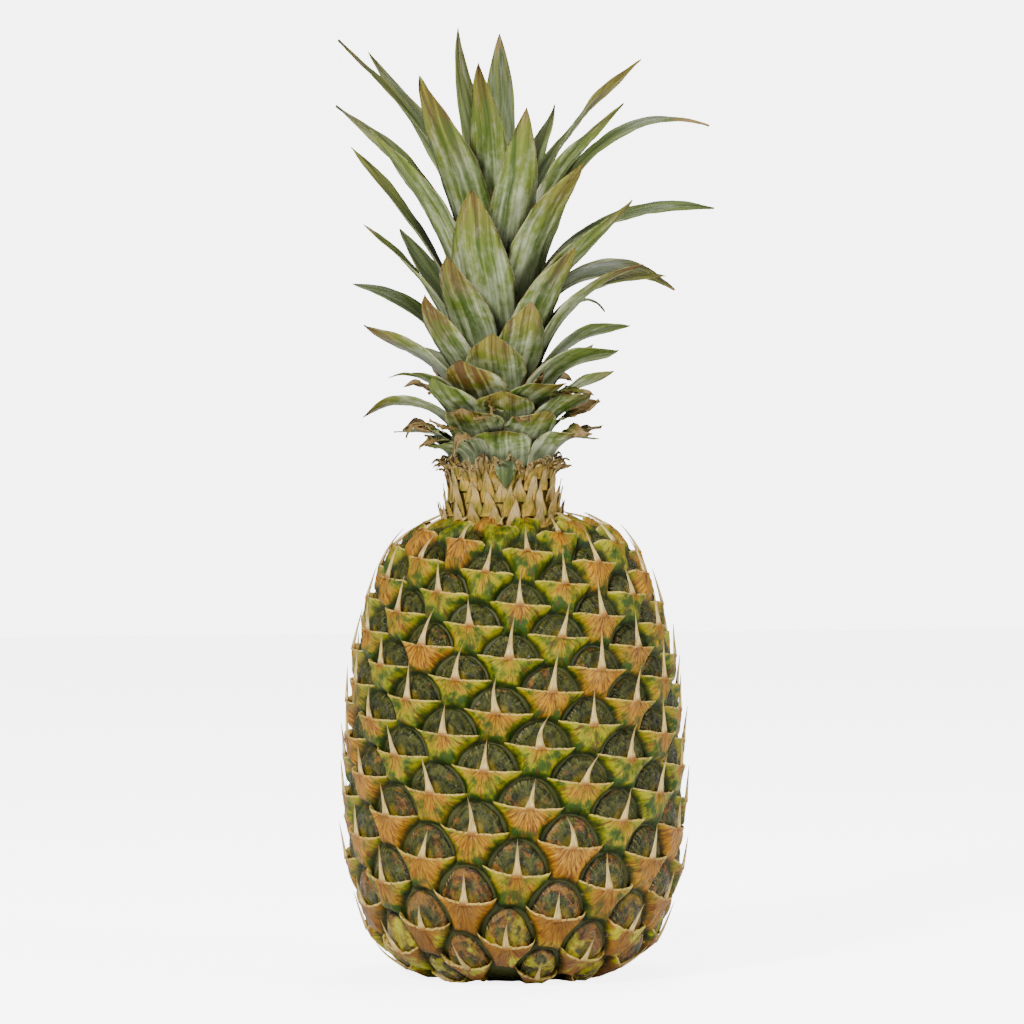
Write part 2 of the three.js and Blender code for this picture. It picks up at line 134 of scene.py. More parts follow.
# Crown leaves from the neck upwards: azimuth, height of the root on the stem, reach of the tip
# from the stem's axis, height of the tip, lean from upright at the root and at the tip, width,
# taper (larger keeps a leaf wide for longer before its point), twist and hook of the tip.
LEAVES = [
    # low tier on the neck
    (2, 183.2, 25, 193, 28, 55, 19, 3, 0, 0),
    (62, 183.2, 30, 192, 30, 62, 18, 3, 12, 0),
    (122, 183.2, 30, 191, 30, 62, 18, 3, 0, 0),
    (182, 183.2, 30, 191, 30, 62, 18, 3, 0, 0),
    (-118, 183.2, 31, 192, 30, 62, 18, 3, 0, 0),
    (-58, 183.2, 31, 188, 34, 72, 18, 3, 0, 0),
    (33, 187, 30, 200, 20, 42, 18, 3, 0, 0),
    (94, 187, 35, 190, 34, 84, 14, 2.2, 0, 0),
    (-92, 187, 38, 193, 32, 86, 14, 2.2, 0, 0),
    (-28, 187, 29, 201, 16, 30, 20, 4, 0, 0),
    # short leaves that spread from the lower crown
    (3, 191, 28, 207, 12, 26, 19, 4, 0, 0),
    (63, 191, 36, 206, 24, 58, 17, 3, 18, 0),
    (150, 189, 38, 207, 24, 60, 18, 3, 0, 0),
    (-152, 189, 38, 208, 24, 60, 18, 3, 0, 0),
    (-80, 191.5, 50, 200, 30, 112, 16, 2.4, -25, 2),
    (-44, 192, 33, 212, 14, 22, 16, 4, 0, 0),
    (35, 196, 38, 211, 18, 58, 17, 3.4, 0, 2),
    (94, 195, 41, 214, 22, 62, 15, 3, 25, 0),
    (180, 195, 42, 217, 20, 58, 18, 3, 0, 0),
    (-24, 197, 32, 218, 10, 14, 19, 4, 0, 0),
    (-64, 197, 43, 214, 20, 86, 13, 3, 0, 2),
    (-4, 202, 29, 227, 10, 8, 18, 4, 0, 0),
    (61, 201, 48, 221, 20, 78, 17, 2.8, 25, 0),
    (132, 199, 46, 224, 20, 60, 17, 3, 0, 0),
    (-132, 200, 46, 226, 20, 60, 17, 3, 0, 0),
    (-80, 201.5, 48, 231, 20, 58, 15, 2.4, -30, 0),
    (24, 207, 29, 238, 11, 8, 16, 4, 0, 0),
    (86, 206, 47, 230, 20, 84, 17, 2.6, 25, 0),
    (172, 207, 48, 243, 17, 58, 18, 3, 0, 0),
    (-102, 208, 53, 246, 20, 80, 14, 2.4, 35, 0),
    (-51, 208, 32, 241, 24, 2, 16, 4, 0, 0),
    # middle leaves
    (-31, 214, 34, 254, 12, 20, 16, 4, 0, 0),
    (47, 214, 38, 257, 14, 38, 18, 3.4, 0, 0),
    (108, 213, 42, 238, 18, 118, 13, 2.2, 0, 3),
    (-124, 214, 42, 266, 14, 40, 15, 2.6, 20, 0),
    (-76, 214, 48, 266, 18, 52, 14, 2.4, 30, 0),
    (74, 211, 54, 251, 18, 74, 13, 2.4, 15, 0),
    (-14, 220, 34, 277, 10, 14, 20, 4, 0, 0),
    (88, 218, 60, 247, 15, 92, 12, 2.2, -30, 0),
    (112, 224, 70, 246, 16, 110, 20, 3, -40, 3),
    (58, 221, 57, 273, 12, 50, 16, 2.6, 8, 0),
    (-92, 222, 51, 294, 12, 40, 14, 2.4, 35, 0),
    (-170, 220, 50, 266, 14, 54, 17, 3, 0, 0),
    (40, 228, 48, 286, 10, 46, 18, 3.4, 0, 0),
    (92, 232, 78, 271, 10, 96, 15, 2.2, -45, 0),
    (-58, 229, 50, 299, 9, 40, 18, 3, 0, 0),
    # long upper leaves
    (17, 236, 42, 305, 6, 16, 17, 3.6, 0, 0),
    (104, 237, 80, 302, 8, 108, 15, 2.2, -30, 0),
    (-114, 236, 61, 311, 9, 50, 14, 2.4, 30, 0),
    (74, 242, 48, 308, 8, 50, 16, 2.6, 20, 0),
    (-38, 242, 43, 315, 7, 34, 20, 3.6, 0, -3),
    (150, 240, 44, 311, 8, 34, 13, 2.8, 0, 0),
    (116, 247, 60, 326, 8, 52, 17, 2.6, 40, 0),
    (-84, 249, 54, 332, 6, 44, 13, 2.4, 30, 0),
    (-132, 244, 60, 331, 7, 42, 12, 2.4, 30, 0),
    (-158, 254, 34, 337, 5, 22, 11, 3, 0, -4),
    (-8, 249, 23, 322, 5, 10, 15, 3.4, 0, 0),
    (173, 262, 24, 336, 4, 12, 14, 3.4, 0, 0),
]

# Stage, in metres.
FLOOR_HALF = 3.0
WORLD_LIGHT = 0.34                # light of the surroundings on the fruit
# The backdrop and the floor are brighter to the camera than to the fruit.
BACKDROP_LIGHT = 6.0
FLOOR_GLOW = 5.0
# Soft lights: name, place, power in watts, size.
LAMPS = [
    ("key", (-0.8, -1.3, 1.1), 66, 0.30),
    ("fill", (1.3, -0.8, 0.7), 26, 0.35),
    ("top", (0.1, 0.3, 1.6), 26, 0.5),
]

CAMERA_PLACE = (0, -1.7, 0.19)
CAMERA_TARGET = (0, 0, 0.1642)
CAMERA_ROLL = -0.5                # degrees
SENSOR_WIDTH = 36                 # millimetres
VIEW_WIDTH = 0.3635               # width of what is seen at the fruit's axis


# ---------------------------------------------------------------- curves and surfaces
def smoothstep(value, low, high):
    """Eased share of the way from low to high."""
    t = np.clip((value - low) / (high - low), 0, 1)
    return t * t * (3 - 2 * t)


def ring(sides):
    """Angles of the corners of a closed ring, as one row."""
    return np.linspace(0, 2 * math.pi, sides, endpoint=False)[None, :]


def catmull_rom(knots):
    """Dense points along the smooth curve through the knots."""
    knots = np.array(knots, float)
    padded = np.vstack([knots[:1], knots, knots[-1:]])
    t = np.linspace(0, 1, KNOT_STEPS, endpoint=False)[:, None]
    spans = []
    for a, b, c, d in zip(padded, padded[1:], padded[2:], padded[3:]):
        spans.append(0.5 * (2 * b + (c - a) * t + (2 * a - 5 * b + 4 * c - d) * t**2
                            + (3 * b - a - 3 * c + d) * t**3))
    return np.vstack([*spans, knots[-1:]])


outline = catmull_rom(FRUIT_OUTLINE)
outline_along = np.concatenate([[0], np.cumsum(np.hypot(*np.diff(outline, axis=0).T))])
outline_along -= outline_along[BASE_KNOT * KNOT_STEPS]
outline_slope = np.gradient(outline, outline_along, axis=0)


def skin(azimuth, along, height):
    """Points at an azimuth (radians), a distance along the skin from the floor, a height over it."""
    radius = np.interp(along, outline_along, outline[:, 0])
    z = np.interp(along, outline_along, outline[:, 1])
    run = np.interp(along, outline_along, outline_slope[:, 0])
    rise = np.interp(along, outline_along, outline_slope[:, 1])
    reach = radius + rise * height
    level = np.maximum(z - run * height, FLOOR_CLEARANCE)
    return np.stack([reach * np.sin(azimuth), -reach * np.cos(azimuth), level], axis=-1) * MM


def fruitlet_along(k):
    """Distance of fruitlet k along the skin from the floor."""
    t = k / RISE_SPAN
    return RISE_MIDDLE + RISE_SLOPE * t + RISE_CROWDING * t**3


def fruitlet_stretch(k):
    """How much taller a fruitlet is than those in the middle of the fruit."""
    return (fruitlet_along(k + 0.5) - fruitlet_along(k - 0.5)) * RISE_SPAN / RISE_SLOPE


def place_fruitlet(k, across, up, out):
    """Carries fruitlet-plane points to the skin at place k of the spiral. The relief is shallower
    where the fruit is narrow."""
    along = fruitlet_along(k)
    radius = np.interp(along, outline_along, outline[:, 0])
    azimuth = math.radians(SPIRAL_START + k * SPIRAL_TURN) + across / WIDEST
    return skin(azimuth, along + up * fruitlet_stretch(k), out * min(1.0, 0.35 + radius / WIDEST))


def wave(x, y, seed):
    """Smooth wandering value between about -1 and 1."""
    slow = np.sin(1.7 * x + 2.3 * seed) * np.cos(1.3 * y - 1.1 * seed)
    middling = 0.5 * np.sin(3.1 * x - 2.7 * y + 5.1 * seed)
    quick = 0.25 * np.sin(6.7 * x + 5.9 * y + 3.7 * seed)
    return (slow + middling + quick) / 1.5


# ---------------------------------------------------------------- meshes
def grid_faces(rows, columns, start, wrap):
    """Quads of a rows x columns grid of vertices, whose columns may close on themselves."""
    i, j = np.meshgrid(np.arange(rows - 1), np.arange(columns if wrap else columns - 1), indexing="ij")
    right = (j + 1) % columns
    low, high = i * columns, (i + 1) * columns
    return np.stack([low + j, low + right, high + right, high + j], axis=-1).reshape(-1, 4) + start


def mesh_piece(name, patches, look, node, wrap=False):
    """One object from grids of points; each patch is (points, {attribute: vector values})."""
    points, faces, start = [], [], 0
    for grid, _ in patches:
        rows, columns = grid.shape[:2]
        faces.append(grid_faces(rows, columns, start, wrap))
        points.append(grid.reshape(-1, 3))
        start += rows * columns
    mesh = bpy.data.meshes.new(name)
    mesh.from_pydata(np.vstack(points).tolist(), [], np.vstack(faces).tolist())
    for key in patches[0][1]:
        values = [np.broadcast_to(facts[key], (*grid.shape[:2], 3)).reshape(-1, 3) for grid, facts in patches]
        layer = mesh.attributes.new(key, "FLOAT_VECTOR", "POINT")
        layer.data.foreach_set("vector", np.vstack(values).astype(np.float32).ravel())
    mesh.polygons.foreach_set("use_smooth", [True] * len(mesh.polygons))
    mesh.materials.append(look)
    piece = bpy.data.objects.new(name, mesh)
    bpy.context.scene.collection.objects.link(piece)
    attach(piece, "root")
    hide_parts(node)


def stacked(*values):
    """Vectors from values that are broadcast to one shape."""
    return np.stack(np.broadcast_arrays(*values), axis=-1)


# ---------------------------------------------------------------- materials
class Look:
    """A procedural material being put together: each method adds a node and returns its output."""

    def __init__(self, name):
        self.material = bpy.data.materials.new(name)
        self.material.use_nodes = True
        self.tree = self.material.node_tree
        self.shader = self.tree.nodes["Principled BSDF"]

    def add(self, kind, inputs=(), **settings):
        node = self.tree.nodes.new(kind)
        for key, value in settings.items():
            setattr(node, key, value)
        for key, value in dict(inputs).items():
            self.feed(node.inputs[key], value)
        return node

    def feed(self, socket, value):
        if isinstance(value, bpy.types.NodeSocket):
            self.tree.links.new(value, socket)
        elif isinstance(value, tuple) and len(value) == 3 and socket.type == "RGBA":
            socket.default_value = (*value, 1)
        else:
            socket.default_value = value

    def attribute(self, name):
        vector = self.add("ShaderNodeAttribute", attribute_name=name).outputs["Vector"]
        return self.add("ShaderNodeSeparateXYZ", {0: vector}).outputs

    def position(self):
        return self.add("ShaderNodeTexCoord").outputs["Object"]

    def scaled(self, *axes):
        """Vector whose three values are each given as (value, scale)."""
        values = [self.math("MULTIPLY", value, scale) for value, scale in axes]
        return self.add("ShaderNodeCombineXYZ", enumerate(values)).outputs[0]

    def noise(self, vector, scale, detail=3.0, roughness=0.55):
        values = {"Vector": vector, "Scale": scale, "Detail": detail, "Roughness": roughness}
        return self.add("ShaderNodeTexNoise", values).outputs["Fac"]

    def math(self, operation, a, b=0.0, clamp=False):
        return self.add("ShaderNodeMath", {0: a, 1: b}, operation=operation, use_clamp=clamp).outputs[0]

    def total(self, *terms):
        """Sum of (value, weight) terms and plain numbers."""
        result = 0.0
        for term in terms:
            value = self.math("MULTIPLY", *term) if isinstance(term, tuple) else term
            result = self.math("ADD", result, value)
        return result

    def both(self, a, b):
        return self.math("MULTIPLY", a, b, clamp=True)

    def other(self, share):
        return self.math("SUBTRACT", 1.0, share)

    def step(self, value, low, high):
        values = {"Value": value, "From Min": low, "From Max": high}
        return self.add("ShaderNodeMapRange", values, interpolation_type="SMOOTHSTEP").outputs[0]

    def mix(self, share, a, b):
        node = self.add("ShaderNodeMix", data_type="RGBA")
        self.feed(node.inputs[0], share)
        self.feed(node.inputs[6], a)
        self.feed(node.inputs[7], b)
        return node.outputs[2]

    def multiply(self, a, b):
        node = self.add("ShaderNodeMix", data_type="RGBA", blend_type="MULTIPLY")
        for key, value in {0: 1.0, 6: a, 7: b}.items():
            self.feed(node.inputs[key], value)
        return node.outputs[2]

    def bump(self, height, depth, under=None):
        values = {"Height": height, "Distance": depth * MM, "Strength": 1.0}
        if under is not None:
            values["Normal"] = under
        return self.add("ShaderNodeBump", values).outputs[0]

    def finish(self, color, roughness, normal, specular=0.2):
        self.feed(self.shader.inputs["Base Color"], color)
        self.feed(self.shader.inputs["Roughness"], roughness)
        self.feed(self.shader.inputs["Normal"], normal)
        self.feed(self.shader.inputs["Specular IOR Level"], specular)
        return self.material


def bract_look():
    """Yellow-green wings, and below the spine a fan of dry tan streaks in an orange-brown zone.
    The low rows are bruised, with sappy yellow-green patches."""
    look = Look("bract")
    across, up, out = look.attribute("place")
    below, _, _ = look.attribute("lip")
    chance, dry, low = look.attribute("mood")
    where = look.position()
    mottle = look.noise(where, 230.0)
    coarse = look.noise(where, 90.0)
    fine = look.noise(where, 1100.0, 4.0)
    around = look.math("ARCTAN2", across, look.math("SUBTRACT", 1.5, up))
    squares = look.math("ADD", look.math("POWER", across, 2.0), look.math("POWER", up, 2.0))
    distance = look.math("SQRT", squares)
    fan = look.noise(look.scaled((around, 3.4), (distance, 0.08), (chance, 40.0)), 2.4, 4.0, 0.65)
    hairs = look.noise(look.scaled((around, 6.0), (distance, 0.12), (chance, 31.0)), 2.2, 5.0, 0.65)

    greenness = look.total(mottle, (hairs, 0.35), (below, -0.022))
    green = look.mix(look.step(greenness, 0.42, 0.78), (0.016, 0.042, 0.000), (0.235, 0.225, 0.000))
    orange = look.mix(look.step(hairs, 0.38, 0.62), (0.140, 0.044, 0.000), (0.350, 0.165, 0.001))
    warmth = look.total((distance, -0.062), (mottle, 1.6), (dry, 1.0), (low, 0.34), -0.57)
    color = look.mix(look.step(warmth, 0.0, 0.55), green, orange)

    dryness = look.total((distance, -0.105), (fan, 2.8), (dry, 0.7), (chance, 0.6), (low, 0.10), -1.66)
    tan = look.mix(look.step(hairs, 0.36, 0.62), (0.085, 0.024, 0.001), (0.400, 0.205, 0.032))
    color = look.mix(look.step(dryness, 0.02, 0.42), color, tan)
    bruised = look.step(look.total((coarse, 0.6), (hairs, 0.5)), 0.50, 0.62)
    bruise = look.both(look.step(low, 0.25, 0.9), bruised)
    color = look.mix(look.both(bruise, 0.8), color, (0.095, 0.036, 0.002))
    sappy = look.both(look.step(low, 0.70, 0.95), look.step(coarse, 0.46, 0.40))
    color = look.mix(look.both(sappy, look.step(hairs, 0.30, 0.55)), color, (0.330, 0.350, 0.000))
    scar = look.both(look.step(fan, 0.55, 0.62), look.other(look.step(distance, 6.0, 12.0)))
    color = look.mix(look.both(scar, 0.9), color, (0.075, 0.020, 0.003))
    rim = look.both(look.other(look.step(below, 0.10, 0.65)), look.step(fine, 0.35, 0.55))
    color = look.mix(rim, color, (0.430, 0.300, 0.080))
    # Painted shade: the parts of a bract that sink into the grooves are darkened almost to black.
    painted_groove_shade = look.other(look.step(out, -2.2, 0.2))
    color = look.mix(look.both(painted_groove_shade, 0.90), color, (0.005, 0.011, 0.000))

    relief = look.total((fan, 0.8), (hairs, 0.5))
    normal = look.bump(fine, 0.22, look.bump(relief, 1.0))
    return look.finish(color, look.total(0.34, (fan, 0.25)), normal, 0.18)


def eye_look():
    """Dark grey-green dome: wrinkled, with brown blotches, an olive foot and a pale scalloped edge.
    The pale edge is kept to the left side, where it is also a painted highlight, and the outer rim is
    darkened as painted shade where it dips into the grooves. The low rows have sappy yellow patches."""
    look = Look("eye")
    across, up, rim = look.attribute("place")
    chance, dry, low = look.attribute("mood")
    where = look.position()
    mottle = look.noise(where, 210.0)
    fine = look.noise(where, 1300.0, 5.0, 0.7)
    around = look.math("ARCTAN2", across, look.math("SUBTRACT", up, -2.0))
    creases = look.noise(look.scaled((around, 1.1), (rim, 3.4), (chance, 23.0)), 2.0, 4.0, 0.7)
    folds = look.noise(look.scaled((around, 7.5), (rim, 1.1), (chance, 41.0)), 2.0, 3.0, 0.6)

    color = look.mix(look.step(creases, 0.36, 0.64), (0.006, 0.009, 0.000), (0.050, 0.053, 0.003))
    folded = look.both(look.step(folds, 0.52, 0.66), look.step(rim, 0.2, 1.1))
    color = look.mix(folded, color, (0.085, 0.092, 0.020))
    foot = look.total((look.other(look.step(rim, 0.05, 0.62)), 1.0), (mottle, 1.1), (low, 0.22), -0.62)
    color = look.mix(look.step(foot, 0.1, 0.85), color, (0.160, 0.115, 0.002))
    blotchy = look.total(mottle, (rim, 0.28), (dry, 0.18), (low, 0.20))
    blotch = look.step(blotchy, 0.86, 0.98)
    brown = look.mix(look.step(creases, 0.4, 0.6), (0.045, 0.013, 0.001), (0.180, 0.070, 0.006))
    color = look.mix(look.both(blotch, 0.85), color, brown)
    sappy = look.both(look.step(low, 0.80, 1.0), look.step(look.noise(where, 90.0), 0.47, 0.56))
    color = look.mix(look.both(sappy, look.step(mottle, 0.40, 0.60)), color, (0.330, 0.300, 0.000))
    # Pale scalloped edge near the rim, its own colour, laid only on the left side of the dome, so it is also
    # a painted highlight.
    scallop = look.both(look.step(folds, 0.50, 0.62), look.step(rim, 0.80, 0.90))
    color = look.mix(look.both(scallop, look.step(across, 3.0, -6.0)), color, (0.150, 0.130, 0.048))
    # Painted shade: the outer rim of the dome, where it dips into the grooves, is darkened almost to black.
    color = look.mix(look.step(rim, 0.90, 0.99), color, (0.006, 0.009, 0.001))
    normal = look.bump(fine, 0.22, look.bump(folds, 0.6, look.bump(creases, 2.2)))
    return look.finish(color, look.total(0.12, (mottle, 0.26)), normal, 0.34)


def spine_look():
    """Cream spine with tan grain, orange-brown at its root and its tip."""
    look = Look("spine")
    side, along, _ = look.attribute("place")
    chance, _, _ = look.attribute("mood")
    grain = look.noise(look.scaled((side, 3.0), (along, 1.6), (chance, 17.0)), 2.5, 4.0)
    color = look.mix(look.step(grain, 0.36, 0.62), (0.280, 0.160, 0.026), (0.640, 0.500, 0.200))
    root = look.total((along, -1.0), (grain, 0.18))
    color = look.mix(look.step(root, -0.08, 0.06), color, (0.190, 0.075, 0.010))
    color = look.mix(look.step(along, 0.55, 1.0), color, (0.300, 0.185, 0.060))
    return look.finish(color, 0.5, look.bump(grain, 0.6))


def groove_look():
    """Deep green-brown skin at the bottom of the grooves."""
    look = Look("groove")
    mottle = look.noise(look.position(), 400.0)
    color = look.mix(mottle, (0.012, 0.016, 0.002), (0.043, 0.046, 0.006))
    return look.finish(color, 0.6, look.bump(mottle, 0.6))


def leaf_look():
    """Green leaf under a streaky silvery bloom, olive to brown at its tip, with pale thin edges."""
    look = Look("leaf")
    side, along, back = look.attribute("place")
    chance, dry, olive = look.attribute("mood")
    across, travel, _ = look.attribute("grain")
    streak = look.noise(look.scaled((across, 0.50), (travel, 0.016), (chance, 53.0)), 1.0, 4.0, 0.62)
    patchy = look.noise(look.scaled((side, 1.5), (along, 3.6), (chance, 29.0)), 1.7, 3.0, 0.62)
    fine = look.noise(look.position(), 500.0, 2.0, 0.6)

    front = look.mix(look.step(streak, 0.32, 0.68), (0.018, 0.030, 0.006), (0.066, 0.084, 0.022))
    under = look.mix(look.step(streak, 0.32, 0.68), (0.026, 0.050, 0.003), (0.120, 0.150, 0.016))
    color = look.mix(back, front, under)
    ageing = look.total(along, (patchy, 1.0), (olive, 1.1), -1.34)
    aged = look.mix(look.step(streak, 0.38, 0.62), (0.060, 0.026, 0.003), (0.145, 0.125, 0.012))
    color = look.mix(look.both(look.step(ageing, 0.15, 0.62), look.total(0.35, (back, 0.6))), color, aged)

    bloom = look.total((patchy, 1.5), (fine, 0.5), (streak, 0.5), (along, -0.85), (back, 0.30), -0.82)
    silver = look.mix(look.step(streak, 0.3, 0.7), (0.105, 0.130, 0.060), (0.345, 0.375, 0.245))
    color = look.mix(look.both(look.step(bloom, 0.0, 0.75), look.total(0.30, (back, 0.58))), color, silver)
    # Painted shade: the lower part of each leaf, where it lies in among the other leaves, is darkened.
    painted_root_shade = look.both(look.other(look.step(along, -0.05, 0.42)), 0.72)
    color = look.multiply(color, look.mix(painted_root_shade, (1.0, 1.0, 1.0), (0.20, 0.24, 0.16)))
    edge = look.step(look.math("ABSOLUTE", side), 0.93, 0.985)
    rust = look.mix(look.step(fine, 0.45, 0.6), (0.280, 0.270, 0.130), (0.170, 0.080, 0.025))
    color = look.mix(look.both(edge, 0.7), color, rust)
    withered = look.step(look.total(along, (dry, 0.42), (streak, 0.3)), 1.40, 1.50)
    color = look.mix(withered, color, look.mix(fine, (0.080, 0.042, 0.010), (0.230, 0.160, 0.060)))
    normal = look.bump(fine, 0.04, look.bump(streak, 0.22))
    return look.finish(color, look.total(0.36, (streak, 0.25)), normal, 0.2)


def collar_look():
    """Straw to olive scales with pale pinkish tips and brown grain."""
    look = Look("collar")
    side, along, _ = look.attribute("place")
    chance, _, _ = look.attribute("mood")
    grain = look.noise(look.scaled((side, 4.0), (along, 1.0), (chance, 37.0)), 2.5, 4.0)
    blotch = look.noise(look.position(), 300.0)
    low = look.mix(look.step(blotch, 0.40, 0.60), (0.200, 0.165, 0.012), (0.400, 0.240, 0.030))
    paleness = look.total(along, (chance, 0.5), -0.25)
    color = look.mix(look.step(paleness, 0.15, 0.80), low, (0.500, 0.350, 0.140))
    color = look.mix(look.both(look.step(grain, 0.54, 0.64), 0.75), color, (0.150, 0.065, 0.012))
    edge = look.step(look.math("ABSOLUTE", side), 0.80, 0.98)
    color = look.mix(look.both(edge, 0.6), color, (0.170, 0.090, 0.025))
    return look.finish(color, 0.55, look.bump(grain, 0.9))


def heart_look():
    """Stem of the crown: straw inside the collar, deep green between the leaves."""
    look = Look("heart")
    _, along, _ = look.attribute("place")
    mottle = look.noise(look.position(), 260.0)
    straw = look.mix(mottle, (0.150, 0.120, 0.012), (0.330, 0.220, 0.040))
    green = look.mix(mottle, (0.018, 0.030, 0.003), (0.060, 0.085, 0.014))
    return look.finish(look.mix(look.step(along, 0.10, 0.17), straw, green), 0.6, look.bump(mottle, 0.8))


# ---------------------------------------------------------------- fruit
def eye_distance(across, up):
    """Distance to the rim of the nearest eye below, negative inside it."""
    nearest = np.full(np.broadcast(across, up).shape, 99.0)
    for step in (STEP_8, STEP_13, STEP_21):
        centre = (EYE_CENTRE[0] - step[0], EYE_CENTRE[1] - step[1])
        share = np.hypot((across - centre[0]) / EYE_SIZE[0], (up - centre[1]) / EYE_SIZE[1])
        nearest = np.minimum(nearest, (share - 1) * EYE_SIZE[1])
    return nearest


def lip_height(low):
    """How far the lip of a bract stands out, less in the low rows."""
    return LIP_HEIGHT * (1 - LOW_FLATNESS * low)


def eye_patch(k, mood):
    """Dome of a fruitlet, creased all over and tucked in below the lip."""
    share = np.array(EYE_RINGS)[:, None]
    angle = ring(EYE_SIDES)
    ragged = 1 + 0.03 * wave(3 * np.cos(angle), 3 * np.sin(angle), k) * smoothstep(share, 0.5, 1)
    peaked = 1 - 0.045 * np.sin(3 * angle)
    reach = share * ragged * peaked
    across = EYE_CENTRE[0] + EYE_SIZE[0] * reach * np.cos(angle)
    up = EYE_CENTRE[1] + EYE_SIZE[1] * reach * np.sin(angle)
    dome = np.clip(1 - share**4, 0, 1) ** 0.6
    creased = 0.42 * wave(0.45 * across, 0.45 * up, k)
    creased = creased + 0.28 * wave(3 * angle, 3 * share, k + 5) * smoothstep(share, 0.3, 0.9)
    tucked = 4 * smoothstep(-up, 1.5, 5)
    swollen = 0.5 * mood[2]
    out = CREVICE + dome * (-CREVICE - 0.1 + swollen + creased) - tucked
    return place_fruitlet(k, across, up, out), {"place": stacked(across, up, share), "mood": mood}


def between(start, end, t):
    """Across and up at a share of the way from one corner of a bract to another."""
    return start[0] + (end[0] - start[0]) * t, start[1] + (end[1] - start[1]) * t


def bract_patch(k, mood):
    """Bract from its lip (t = 0) to its belly (t = 1), with the lip turned in under itself."""
    low = mood[2]
    s = np.linspace(-1, 1, BRACT_COLUMNS)[None, :]
    t = np.linspace(0, 1, BRACT_ROWS)[:, None] ** 1.2
    share = (s + 1) / 2
    raised = LOW_LIP_RISE * low
    left_across, left_up = between((LIP_LEFT[0], LIP_LEFT[1] + raised), BELLY_LEFT, t)
    right_across, right_up = between((LIP_RIGHT[0], LIP_RIGHT[1] + raised), BELLY_RIGHT, t)
    across = (left_across * (1 - share) + right_across * share) * (1 - LOW_NARROWING * low)
    ragged = (0.10 + 0.12 * low) * wave(9 * s, 0, k) + 0.06 * np.sin(41 * s + 3 * k)
    sag = (LIP_SAG + raised) * (1 - s**2)
    up = left_up * (1 - share) + right_up * share - (sag + ragged) * (1 - t)
    below = up[:1] - up

    clear = smoothstep(eye_distance(across, up), -0.4, 3.4)
    clear = clear * (1 - np.abs(s) ** 12 * (1 - 0.5 * t))
    around = np.arctan2(across, 1.5 - up)
    distance = np.hypot(across, up)
    ridges = 0.30 * wave(3.5 * around, 0.1 * distance, 1.7 * k) * np.exp(-distance / 8)
    ridges = ridges + 0.25 * wave(0.35 * across, 0.35 * up, k)
    curl = 0.5 * (1 - t) ** 3 * (1 - s**2)
    out = CREVICE + clear * (lip_height(low) - CREVICE + ridges - 0.10 * np.abs(up)) + curl

    across = np.vstack([across[:1]] * len(LIP_UNDER) + [across])
    up = np.vstack([up[:1] + rise for rise, _ in LIP_UNDER] + [up])
    out = np.vstack([out[:1] + drop for _, drop in LIP_UNDER] + [out])
    below = np.vstack([below[:1]] * len(LIP_UNDER) + [below])
    facts = {"place": stacked(across, up, out), "lip": stacked(below, 0, 0), "mood": mood}
    return place_fruitlet(k, across, up, out), facts


def spine_patch(k, mood, length, sway, bow, stand):
    """Thin spine that stands over the middle of the lip, from its spread foot to its point."""
    t = np.linspace(0, 1, SPINE_RINGS)[:, None]
    angle = ring(SPINE_SIDES)
    foot = 1.2 * (1 - t) ** 7
    half_width = foot + SPINE_HALF_WIDTH * (1 - t**1.2) * (1 - 0.5 * t) + 0.03
    thick = SPINE_THICKNESS * (1 - t) + 0.10
    across = sway * t**1.6 + bow * np.sin(math.pi * t) + half_width * np.cos(angle)
    up = -0.4 + length * t - 0.7 * np.abs(np.cos(angle)) * (1 - t) ** 4
    lifted = lip_height(mood[2]) + 0.25 + stand * t**1.3
    out = lifted + thick * np.sin(angle) - 0.25 * half_width * np.cos(angle) ** 2
    return place_fruitlet(k, across, up, out), {"place": stacked(np.cos(angle), t, 0), "mood": mood}


def build_fruit():
    """Domes, bracts and spines of all fruitlets, over the plain skin that closes the grooves.
    The mood of a fruitlet is its chance value, its dryness and how low it sits."""
    eyes, bracts, spines = [], [], []
    for k in FRUITLETS:
        along = fruitlet_along(k)
        low = 1 - smoothstep(along, *LOW_ROWS)
        dry = np.clip(0.38 + 0.08 * low + 0.22 * random.normal(), 0, 1)
        mood = np.array([random.random(), dry, low])
        length = (SPINE_LENGTH + 1.2 * random.normal()) / fruitlet_stretch(k)
        sway = 0.4 + 1.9 * random.normal()
        bow = 0.45 * random.normal()
        stand = (1.3 - 0.8 * low) + 0.6 * random.normal()
        if along > LOWEST_SHOWN:
            eyes.append(eye_patch(k, mood))
            bracts.append(bract_patch(k, mood))
            spines.append(spine_patch(k, mood, length, sway, bow, stand))
    mesh_piece("fruit_eyes", eyes, eye_look(), "fruit", wrap=True)
    mesh_piece("fruit_bracts", bracts, bract_look(), "fruit")
    mesh_piece("fruit_spines", spines, spine_look(), "fruit", wrap=True)

    along = np.linspace(CORE_START, outline_along[-1], CORE_RINGS)[:, None]
    azimuth = ring(CORE_SIDES)
    core = skin(azimuth, along, -CORE_DEPTH + 0.3 * wave(8 * azimuth, 0.2 * along, 3))
    mesh_piece("fruit_core", [(core, {})], groove_look(), "fruit", wrap=True)


# ---------------------------------------------------------------- crown
def crown_points(azimuth, reach, z):
    """Points round the crown's own axis, which stands off the middle and leans."""
    x = reach * np.sin(azimuth) + CROWN_OFFSET - CROWN_LEAN * (z - CROWN_FOOT)
    return stacked(x, -reach * np.cos(azimuth), z) * MM


def stem_radius(z):
    """Radius of the crown's stem at a height."""
    return np.interp(z, *zip(*STEM_RADII))


